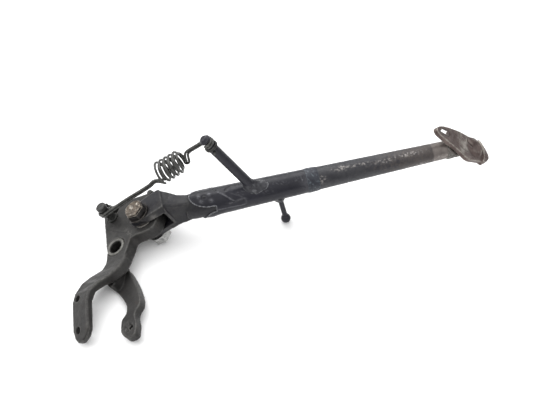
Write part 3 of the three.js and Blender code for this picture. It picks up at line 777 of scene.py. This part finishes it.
def build_pivot():
    bolt = remeshed("pivot_bolt_worn", ["pivot_bolt"], DARK_HEAD, 0.38, 5)
    sculpt(bolt, head_shape())
    bolt.data.materials.append(RUSTED)
    to_leg = local(LEG)
    for face in bolt.data.polygons:
        spot = to_leg(face.center)
        faces_up = face.normal.dot(PIVOT_AXIS) > 0.35
        rust_line = HEAD_TOP - 1.1 + 0.9 * rough_noise(face.center, 2.5, 21)
        if spot.z > HEAD_TOP - 2.4 and (faces_up or spot.z > rust_line):
            face.material_index = 1
    finish_piece(bolt, "leg", "rusted_steel", ["pivot_bolt"])
    build_plain("pivot_nut_plated", "pivot_nut", ZINC, "leg", "zinc_plate", 0.38, 4, (2.5, 0.05, 8))
    washers = (
        ("head_washer", DARK_HEAD, "leg", "rusted_steel"),
        ("nut_washer", ZINC, "leg", "zinc_plate"),
        ("pivot_bush", BRONZE, "bracket", "bronze"),
        ("thrust_washer_upper", BARE_STEEL, "bracket", "worn_steel"),
        ("thrust_washer_lower", BARE_STEEL, "bracket", "worn_steel"),
        ("post_washer", PIN_STEEL, "leg", "dark_pin_steel"),
    )
    for node, finish, body, slot in washers:
        build_plain(node + "_turned", node, finish, body, slot, 0.3, 3, (3, 0.04, 9))


# ------------------------------------------------------------------ clevis and tubes

INNER_SKIN = 0.9  # points further under the tube's surface than this are its inside
COPE_DEPTH = 26  # up to here the bore is wider, to clear the neck
COPE_BORE = 12.55
UNROLL_RADIUS = 12.6  # turns an angle round the upper tube into millimetres
NECK_STATIONS = (  # along the tube, radius
    (-6, 10.6), (-2, 11.6), (2, 12.1), (8, 12.2), (16, 12.2), (25, 12.0), (26.5, 11.5),
)


def tube_radius(x):
    start, joint, lower, end = TUBE_RADII
    if x <= TUBE_JOINT:
        return start + (joint - start) * x / TUBE_JOINT
    return lower + (end - lower) * (x - TUBE_JOINT) / (TUBE_LENGTH - TUBE_JOINT)


NOTCH_END = 22.0  # how far the coped end is open along the tube
TONGUES = ((100, 57, -0.5), (262, 78, 9.0))  # middle angle, half width, tip along the tube


def tongue(angle, middle, half_width, tip):
    """Where the tube's coped end starts, at an angle round it, for one rounded tongue."""
    away = abs((angle - middle + 180) % 360 - 180) / half_width
    if away >= 1:
        return NOTCH_END
    return tip + (NOTCH_END - tip) * (1 - math.sqrt(1 - away * away))


def coped_start(angle):
    return min(tongue(angle, *shape) for shape in TONGUES)


def tube_point(x, angle, radius):
    return at(TUBE, x, radius * math.cos(math.radians(angle)), radius * math.sin(math.radians(angle)))


def tube_shell(start, end, inner, lengths, segments, lip=0.5):
    """Open tube: outer rings, rounded ends and an inner skin. `start(angle)` is its first edge."""
    angles = [360 * i / segments for i in range(segments)]

    def ring(share, radius_at, shift=0.0):
        points = []
        for angle in angles:
            first = start(angle)
            x = first + (end - first) * share + shift
            points.append(tube_point(x, angle, radius_at(x)))
        return points

    def mid_wall(x):
        return (inner(x) + tube_radius(x)) / 2

    shares = [i / lengths for i in range(lengths + 1)]
    rings = [ring(0, inner, lip * 0.3), ring(0, mid_wall)]
    rings.append(ring(0, lambda x: tube_radius(x) - 0.15, lip * 0.3))
    rings += [ring(share, tube_radius, lip * (1 - share)) for share in shares]
    rings.append(ring(1, mid_wall, lip * 0.4))
    rings += [ring(share, inner) for share in reversed(shares[1::4])]
    rings.append(rings[0])
    return skin(rings, closed_ends=False)


def arc_place(x, angle):
    """A place on the tube unrolled: along it, and round it, in millimetres."""
    return x, math.radians(angle) * UNROLL_RADIUS


def tube_ribbon(*places):
    return ribbon_distance([arc_place(*place) for place in places])


WELD_LINES = [  # centre line on the unrolled tube, height, width
    (tube_ribbon((24.8, 99), (31.5, 124), (38.5, 154)), 0.9, 1.1),
    (tube_ribbon((32.7, 159), (40.2, 156), (48.8, 151)), 0.7, 0.9),
    (tube_ribbon((21.5, 176), (34, 178), (47.8, 181)), 0.35, 0.7),
]
PATCH_LINE = tube_ribbon((38, 122), (45.1, 140), (49.5, 160), (49, 176))
# A shallow sunk arc round the tube, with painted shade along it
SHADED_GROOVE_ARC = tube_ribbon((33, 100), (34.6, 88), (38.5, 80), (44, 78))
TUBE_PITS = (  # place, depth, width, darkness of the painted shade in the pit, width of that painted shade
    (arc_place(12.7, 111), 1.2, 1.6, 0.7, 1.2),
    (arc_place(23.5, 86), 1.5, 1.2, 0.95, 1.25),
)
PLUG_BUMPS = (arc_place(7.6, 108), arc_place(17.6, 104), arc_place(18.3, 132), arc_place(9.5, 128))
UNDER_BUMP = arc_place(17, 222)
TOP_SCUFFS = (  # along the tube, angle round it, length, width
    (60, 126, 7, 2.2), (47, 128, 5, 1.8), (82, 122, 9, 2.0), (104, 126, 7, 3.5), (70, 150, 5, 1.5),
)
JOINT_PATCH = arc_place(109, 150)


def near_place(x, y, place, size):
    return bump_at(math.hypot(x - place[0], y - place[1]), size)


def scuffs_at(x, round_it, scuffs):
    """How close the place is to each scuff's middle, from 0 to 1."""
    for spot, spot_angle, long, wide in scuffs:
        yield bump_at(oval_distance(x, round_it, arc_place(spot, spot_angle), (long, wide)), 1)


def upper_tube_shape():
    to_tube = local(TUBE)

    def shaper(point, normal):
        x, across, up = to_tube(point)
        radius = math.hypot(across, up)
        if radius < tube_radius(x) - INNER_SKIN:
            return 0, 0, 0
        angle = math.degrees(math.atan2(up, across)) % 360
        _, round_it = arc_place(0, angle)
        height = 0.07 * rough_noise(point, 9, 1) + 0.04 * rough_noise(point, 2.5, 2)
        wear, pitting_and_shade = 0.0, 0.0
        ripple = 0.8 + 0.25 * math.sin(x * 4.2 + round_it)
        for measure, tall, wide in WELD_LINES:
            distance, share = measure(x, round_it)
            body = bump_at(distance, wide) * smoothstep(0, 0.15, share) * smoothstep(1, 0.85, share)
            height += tall * body * ripple
            wear = max(wear, 0.95 * bump_at(distance, wide * 0.55) * smoothstep(0, 0.1, share))
        distance, _ = PATCH_LINE(x, round_it)
        height += 0.35 * bump_at(distance, 1.0)
        wear = max(wear, 0.25 * bump_at(distance, 0.7))
        # Sinks the arc and paints shade along it
        distance, _ = SHADED_GROOVE_ARC(x, round_it)
        height -= 0.9 * bump_at(distance, 1.1)
        pitting_and_shade = max(pitting_and_shade, 0.75 * bump_at(distance, 0.8))
        # Each pit is sunk, and painted shade darkens its inside
        for place, deep, wide, dark, pit_shade_width in TUBE_PITS:
            height -= deep * near_place(x, round_it, place, wide)
            pitting_and_shade = max(pitting_and_shade, dark * near_place(x, round_it, place, pit_shade_width))
        for place in PLUG_BUMPS:
            height += 0.55 * near_place(x, round_it, place, 2.2)
            wear = max(wear, 0.75 * near_place(x, round_it, place, 1.6))
        near = near_place(x, round_it, UNDER_BUMP, 4.2)
        height += 0.9 * near
        wear = max(wear, 0.5 * near)
        for near in scuffs_at(x, round_it, TOP_SCUFFS):
            wear = max(wear, 0.75 * near * smoothstep(0.0, 0.5, rough_noise(point, 1.6, 6)))
        near = near_place(x, round_it, JOINT_PATCH, 7)
        wear = max(wear, 0.35 * near)
        height += 0.25 * near * rough_noise(point, 2.2, 13)
        return height, wear, pitting_and_shade
    return shaper


def build_upper_tube():
    def bore(x):
        return COPE_BORE if x < COPE_DEPTH else tube_radius(x) - TUBE_WALL

    shape = tube_shell(coped_start, TUBE_JOINT, bore, 150, 128)
    obj = from_bmesh("upper_tube_coped", shape, SATIN_BLACK)
    sculpt(obj, upper_tube_shape())
    finish_piece(obj, "leg", "black_paint", ["upper_tube"])


def build_cope_weld():
    """Bead where the coped end meets the neck."""
    angles = [40 + i * 3 for i in range(101)]
    path = [tube_point(coped_start(a) - 0.3, a, 12.75) for a in angles]
    path = spline(path, 1.0 * MM)
    shape = sweep(path, lambda share: (0.62 + 0.16 * math.sin(share * 330)) * MM, 10)
    obj = from_bmesh("cope_weld_bead", shape, WELD_BLACK)
    sculpt(obj, lambda point, normal: (
        0.12 * rough_noise(point, 1.5, 3), 0.45 + 0.4 * rough_noise(point, 4, 1), 0,
    ))
    finish_piece(obj, "leg", "black_paint")


TUBE_GROOVE = 147  # a shallow groove round the lower tube
LOWER_SCUFFS = (  # along the tube, angle round it, length, width
    (142, 112, 8, 3.0), (159, 113, 11, 1.6), (184, 124, 13, 2.2), (207, 115, 12, 2.6), (236, 210, 16, 4.0),
    (243, 180, 10, 3.0), (249, 131, 1.6, 1.6), (222, 200, 14, 2.5), (120, 150, 5, 4.0),
)


def lower_tube_shape():
    to_tube = local(TUBE)

    def shaper(point, normal):
        x, across, up = to_tube(point)
        if math.hypot(across, up) < tube_radius(x) - INNER_SKIN:
            return 0, 0, 0
        angle = math.degrees(math.atan2(up, across)) % 360
        _, round_it = arc_place(0, angle)
        height = 0.08 * rough_noise(point, 8, 3) + 0.07 * rough_noise(point, 2.2, 4)
        wear = 0.0
        for near in scuffs_at(x, round_it, LOWER_SCUFFS):
            wear = max(wear, near * smoothstep(-0.25, 0.35, rough_noise(point, 2.0, 6)))
        height -= 0.25 * bump_at(x - TUBE_GROOVE, 0.8)
        return height, wear, 0
    return shaper


def build_lower_tube():
    obj = remeshed("lower_tube_worn", ["lower_tube"], LOWER_PAINT, 0.75, 3)
    sculpt(obj, lower_tube_shape())
    finish_piece(obj, "leg", "worn_black_paint", ["lower_tube"])


def build_clevis():
    """The forked end, with a neck that runs on inside the tube's coped end."""
    def neck(shape):
        rings = []
        for x, radius in NECK_STATIONS:
            rings.append([tube_point(x, angle, radius) for angle in range(0, 360, 6)])
        extra = skin(rings)
        bmesh.ops.recalc_face_normals(extra, faces=extra.faces)
        join_shape(shape, extra)

    obj = remeshed("clevis_forged", ["clevis"], CLEVIS_BLACK, 0.6, 4, extra=neck)
    soften = obj.vertex_groups.new(name="neck")
    to_leg = local(LEG)
    for vertex in obj.data.vertices:
        x = to_leg(vertex.co).x
        weight = smoothstep(36, 42, x) * smoothstep(64, 54, x)
        if weight > 0:
            soften.add([vertex.index], weight, "REPLACE")
    modify(obj, "SMOOTH", factor=0.5, iterations=14, vertex_group="neck")
    bake_modifiers(obj)
    obj.vertex_groups.clear()

    def shaper(point, normal):
        x, y, z = to_leg(point)
        height = 0.10 * rough_noise(point, 6, 2) + 0.05 * rough_noise(point, 2, 7)
        near = 0
        if y < EAR_NEAR_SIDE:
            near = bump_at(oval_distance(x, z, EAR_PATCH, EAR_PATCH_SIZE), 1)
        return height, 0.7 * near, 0

    sculpt(obj, shaper)
    finish_piece(obj, "leg", "black_paint", ["clevis"], passes=3)


def build_welds():
    rows = (
        ("foot_weld_bead", "foot_weld", BARE_STEEL, "worn_steel", 0.4, 4, 0.35),
        ("peg_weld_fillet", "peg_weld", WELD_BLACK, "black_paint", 0.35, 5, 0.25),
    )
    for name, node, finish, slot, voxel, smoothing, rough in rows:
        obj = remeshed(name, [node], finish, voxel, smoothing)
        sculpt(obj, weld_skin(2.0, rough, 0.5 * rough))
        finish_piece(obj, "leg", slot, [node])


FILLET_REACH = 2.4  # how far the weld runs out from the post, and how much further along the leg
GUSSET_REACH = 6.5
FILLET_RISE = 6.5  # how far it climbs the post, and how much further on the gusset's side
GUSSET_RISE = 1.5
BEAD_START, BEAD_END = 108, 120  # the dressed bead, along the tube


def build_post_weld():
    """Fillet round the post's foot that runs out into a short gusset along the tube."""
    to_tube = local(TUBE)
    hook = POST_HOOK / MM

    def surface(x, y):
        """Height of the tube's surface at (x, y) in the post's frame, or -45 if it isn't there."""
        low, high = -45.0, -10.0
        for _ in range(24):
            middle = (low + high) / 2
            along, across, up = to_tube(at(POST, x, y, middle))
            if math.hypot(across, up) < tube_radius(along):
                low = middle
            else:
                high = middle
        return high

    def ring(share, inset=0.0, sink=0.0):
        points = []
        for i in range(72):
            angle = 2 * math.pi * i / 72
            gusset = max(0.0, math.cos(angle)) ** 5
            radius = POST_RADIUS - inset + (FILLET_REACH + GUSSET_REACH * gusset) * share ** 1.3
            x, y = hook.x + radius * math.cos(angle), radius * math.sin(angle)
            rise = (FILLET_RISE + GUSSET_RISE * gusset) * (1 - share) ** 1.7
            points.append(at(POST, x, y, surface(x, y) + 0.1 - sink + rise))
        return points

    rings = [ring(share) for share in np.linspace(0, 1, 16)]
    rings += [ring(1, 0, 0.8), ring(0, 0.9, 6), ring(0, 0.9, 0.3), rings[0]]
    obj = from_bmesh("post_weld_fillet", skin(rings, closed_ends=False), WELD_BLACK)
    sculpt(obj, weld_skin(2.4, 0.28, 0.1))
    finish_piece(obj, "leg", "black_paint", ["post_weld"], gain=0.3)


def build_joint_weld():
    """Low dressed bead that covers the seam between the two tubes."""
    def crown(x):
        return 0.1 + 0.5 * math.sin(math.pi * (x - BEAD_START) / (BEAD_END - BEAD_START)) ** 0.7

    inner = [(-0.5, x) for x in (BEAD_END, (BEAD_START + BEAD_END) / 2, BEAD_START)]
    outer = [(crown(x), x) for x in np.linspace(BEAD_START + 0.2, BEAD_END - 0.2, 25)]
    rings = []
    for lift, x in inner + outer + inner[:1]:
        rings.append([tube_point(x, angle, tube_radius(x) + lift) for angle in range(0, 360, 3)])
    obj = from_bmesh("joint_weld", skin(rings, closed_ends=False), JOINT_BLACK)
    sculpt(obj, weld_skin(2.4, 0.10, 0.08, wear=0.4, wear_from=0.1, wear_size=1.8))
    finish_piece(obj, "leg", "black_paint", ["tube_weld"], gain=0.6)


def build_peg():
    build_plain("kick_peg_bent", "kick_peg", SATIN_BLACK, "leg", "black_paint", 0.35, 6, (3, 0.08, 12))


# ------------------------------------------------------------------ foot

FOOT_GROOVE = ribbon_distance([(25.6, 12.2), (26.8, 8.6), (26.2, 5.0)])
FOOT_MARKS = [  # centre line on the sole, depth, width
    (ribbon_distance([(26.5, -3.6), (32.5, -5.6), (38.5, -5.2)]), 0.55, 0.9),
    (ribbon_distance([(39.0, 9.6), (41.2, 6.6), (44.4, 4.0)]), 0.7, 1.1),
    (ribbon_distance([(2.0, -2.6), (9.5, -1.6), (12, 1.5), (10, 5.4), (2, 4.2)]), 0.25, 0.8),
]
FOOT_LUMP = (50.5, 5.5)
FOOT_LUMP_SIZE = (10.5, 10)
FOOT_LUMP_HEIGHT = 2.7
SLOT_CORNERS = [(-1.2, -0.4), (0.9, 2.6), (7.8, 3.4), (5.8, -0.5)]
SLOT_SLANT = (1.25, 1.1)  # sideways for each millimetre of depth
FOOT_RINGS = ((26.6, 1.4, 1.6), (30.8, 5.4, 2.0))  # x, y, radius of the raised rings


def foot_shape():
    to_foot = local(FOOT)
    up = FOOT.to_3x3() @ Vector((0, 0, 1))

    def shaper(point, normal):
        x, y, z = to_foot(point)
        facing = normal.dot(up)
        height = 0.10 * rough_noise(point, 5, 4) + 0.06 * rough_noise(point, 1.6, 6)
        wear, pitting_and_shade = 0.0, 0.0
        lump = smoothstep(1.15, 0.55, oval_distance(x, y, FOOT_LUMP, FOOT_LUMP_SIZE))
        if facing > 0.2:
            height += FOOT_LUMP_HEIGHT * lump
        if facing > 0.4:
            # The groove and the marks are sunk, and painted shade darkens them
            distance, _ = FOOT_GROOVE(x, y)
            height -= 0.45 * bump_at(distance, 1.0)
            pitting_and_shade = 0.45 * bump_at(distance, 0.8)
            for measure, deep, wide in FOOT_MARKS:
                distance, _ = measure(x, y)
                height -= deep * bump_at(distance, wide)
                pitting_and_shade = max(pitting_and_shade, 0.6 * bump_at(distance, wide * 0.6))
            for spot_x, spot_y, size in FOOT_RINGS:
                height += 0.3 * bump_at(math.hypot(x - spot_x, y - spot_y) - size, 0.45)
            wear = 0.65 * smoothstep(24, 31, x) * smoothstep(44, 34, x)
            wear *= smoothstep(-0.5, 0.3, rough_noise(point, 6, 9))
        return height, wear, pitting_and_shade
    return shaper


def cut_slot(obj):
    """Opens the slot towards the back of the sole on a slant."""
    rings = [
        [
            at(FOOT, x + SLOT_SLANT[0] * depth, y + SLOT_SLANT[1] * depth, -depth)
            for x, y in SLOT_CORNERS
        ]
        for depth in (-1.5, 7.5)
    ]
    cutter = from_bmesh("slot_cutter", skin(rings), FOOT_STEEL)
    modify(obj, "BOOLEAN", operation="DIFFERENCE", solver="EXACT", object=cutter)
    bake_modifiers(obj)
    bpy.data.objects.remove(cutter)


def build_foot():
    obj = remeshed("foot_plate_worn", ["foot_plate"], FOOT_STEEL, 0.5, 6)
    cut_slot(obj)
    sculpt(obj, foot_shape())
    finish_piece(obj, "leg", "worn_steel", ["foot_plate"], passes=3)


# ------------------------------------------------------------------ springs

WIRE_RADIUS = 1.15
COIL_TURNS = 5
COIL_PITCH = 4.8
COIL_START, COIL_END = -0.14, COIL_TURNS - 0.3  # turns at which the wire joins and leaves the coil
COIL_TAPER = 0.06  # how much narrower the coil gets towards the post, as a share of its radius
COIL_CENTRE = (86.2, 0.8, 0)
COIL_ALONG = Vector((0.841, 0.219, 0.494))  # row frame: flatter than the line of the hooks


def spring_length():
    angle = math.radians(LEG_TURN)
    post = Vector((POST_REACH * math.cos(angle), POST_REACH * math.sin(angle), POST_HOOK_RISE))
    return (post - STUD_HOOK).length


SPRING_LENGTH = spring_length()


def arc(x, y, level, radius, first, last, count):
    """Points of an arc in the spring's frame, from one angle in degrees to another."""
    points = []
    for i in range(count + 1):
        angle = math.radians(first + (last - first) * i / count)
        points.append((x + radius * math.cos(angle), y + radius * math.sin(angle), level))
    return points


def coil(radius, shift, per_turn=16):
    """Points of the coil in the row frame, on its own slightly turned axis."""
    centre = at(SPRING, *COIL_CENTRE)
    turned = SPRING_ALONG.rotation_difference(COIL_ALONG).to_matrix().to_4x4()
    sag = Matrix.Translation(centre) @ turned @ Matrix.Translation(-centre)
    points = []
    for i in range(round((COIL_END - COIL_START) * per_turn) + 1):
        turns = COIL_START + i / per_turn
        angle = math.radians(270) + 2 * math.pi * turns
        x = COIL_CENTRE[0] + shift + (turns - COIL_TURNS / 2) * COIL_PITCH
        size = radius * (1 + COIL_TAPER / 2 - COIL_TAPER * turns / COIL_TURNS)
        y = COIL_CENTRE[1] + size * math.sin(angle)
        points.append(sag @ at(SPRING, x, y, size * math.cos(angle)))
    return points


def build_spring(name, radius, shift, level, last_curl, nodes):
    """One wire: hook round the stud, shank, coil, curl up to the line of the hooks, eye."""
    hook = arc(0, 0, level, STUD_RADIUS + WIRE_RADIUS + 0.4, 50, 270, 9)
    shank = [(14, -5.4, level), (30, -5.1, level), (50, -5.9, level), (60, -5.8, level), (66, -4.6, level)]
    eye = arc(SPRING_LENGTH, 0, level, POST_NECK_RADIUS + WIRE_RADIUS + 0.5, 90, -120, 9)
    points = [at(SPRING, *point) for point in hook + shank]
    points += coil(radius, shift)
    points += [at(SPRING, *point) for point in [*last_curl, (SPRING_LENGTH - 11, 4.9, level), *eye]]
    path = spline(points, 0.7 * MM)
    shape = sweep(path, lambda share: WIRE_RADIUS * MM, 12)
    obj = from_bmesh(name, shape, SPRING_STEEL)
    sculpt(obj, dented(2.5, 0.03, radius))
    finish_piece(obj, None, "spring_steel", nodes, edges=False)
    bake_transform(obj)


OUTER_RADIUS = 9.7
INNER_RADIUS = 7.2
WIRE_LEVEL = 1.2  # the two wires lie this far either side of the middle of the hooks
# The wire's way from the coil back to the line of the hooks, in the spring's frame.
OUTER_CURL = [(99.5, 4.0, -9.2), (102.6, 5.4, -4.8), (105.5, 5.6, -1.8)]
INNER_CURL = [(99.5, 4.6, -4.6), (104, 5.4, 0.4)]

# ------------------------------------------------------------------ build, camera, light, floor

build_bracket()
build_insert()
build_studs()
build_pivot()
build_clevis()
build_upper_tube()
build_cope_weld()
build_lower_tube()
build_welds()
build_post_weld()
build_joint_weld()
build_peg()
build_foot()
build_spring(
    "outer_spring_wire", OUTER_RADIUS, 0, -WIRE_LEVEL, OUTER_CURL,
    ["outer_spring_lower", "outer_spring_upper"],
)
build_spring(
    "inner_spring_wire", INNER_RADIUS, COIL_PITCH / 2, WIRE_LEVEL, INNER_CURL,
    ["inner_spring_lower", "inner_spring_upper"],
)


# Places and sizes of the camera, lights and floor are in metres.
CAMERA_FROM_PIVOT = Vector((0.1168, -0.5210, 0.6437))
CAMERA_TILT = 40  # degrees from looking straight down
CAMERA_LENS = 58.9  # millimetres, on a 36 mm sensor
FLOOR_HALF = 6
FLOOR_WHITE = 0.95
SKY_HEIGHTS = (0, 0.9)  # of the view's direction, from the horizon up
SKY_STRENGTHS = (0.3, 1.5)
LIGHT_TARGET = (0, 0, 0.03)


def build_camera():
    data = bpy.data.cameras.new("camera")
    data.sensor_width = 36
    data.lens = CAMERA_LENS
    camera = bpy.data.objects.new("camera", data)
    camera.location = PIVOT + CAMERA_FROM_PIVOT
    camera.rotation_euler = (math.radians(CAMERA_TILT), 0, 0)
    bpy.context.scene.collection.objects.link(camera)
    bpy.context.scene.camera = camera


def area_light(name, place, target, size, energy):
    data = bpy.data.lights.new(name, "AREA")
    data.shape = "RECTANGLE"
    data.size, data.size_y = size
    data.energy = energy
    light = bpy.data.objects.new(name, data)
    light.location = place
    light.rotation_euler = (Vector(target) - Vector(place)).to_track_quat("-Z", "Y").to_euler()
    bpy.context.scene.collection.objects.link(light)


def build_floor():
    shape = bmesh.new()
    bmesh.ops.create_grid(shape, x_segments=8, y_segments=8, size=FLOOR_HALF)
    floor = from_bmesh("studio_floor", shape, bpy.data.materials.new("pale_floor"))
    material = floor.data.materials[0]
    material.use_nodes = True
    shader = material.node_tree.nodes["Principled BSDF"]
    shader.inputs["Base Color"].default_value = (FLOOR_WHITE, FLOOR_WHITE, FLOOR_WHITE, 1)
    shader.inputs["Roughness"].default_value = 0.9


def build_light():
    """A white room, brighter overhead than at the horizon, with two softboxes."""
    world = bpy.data.worlds.new("white_room")
    world.use_nodes = True
    tree = world.node_tree
    background = tree.nodes["Background"]
    split = tree.nodes.new("ShaderNodeSeparateXYZ")
    tree.links.new(tree.nodes.new("ShaderNodeTexCoord").outputs["Generated"], split.inputs[0])
    height = tree.nodes.new("ShaderNodeMapRange")
    for key, value in enumerate((*SKY_HEIGHTS, *SKY_STRENGTHS), 1):
        height.inputs[key].default_value = value
    tree.links.new(split.outputs["Z"], height.inputs[0])
    tree.links.new(height.outputs["Result"], background.inputs["Strength"])
    background.inputs["Color"].default_value = (1, 1, 1, 1)
    bpy.context.scene.world = world
    area_light("back_softbox", (-0.5, 0.9, 1.1), LIGHT_TARGET, (1.7, 1.2), 19)
    area_light("left_softbox", (-1.2, -0.2, 0.9), LIGHT_TARGET, (0.6, 0.7), 6)
    bpy.context.scene.view_settings.view_transform = "Standard"


build_camera()
build_floor()
build_light()
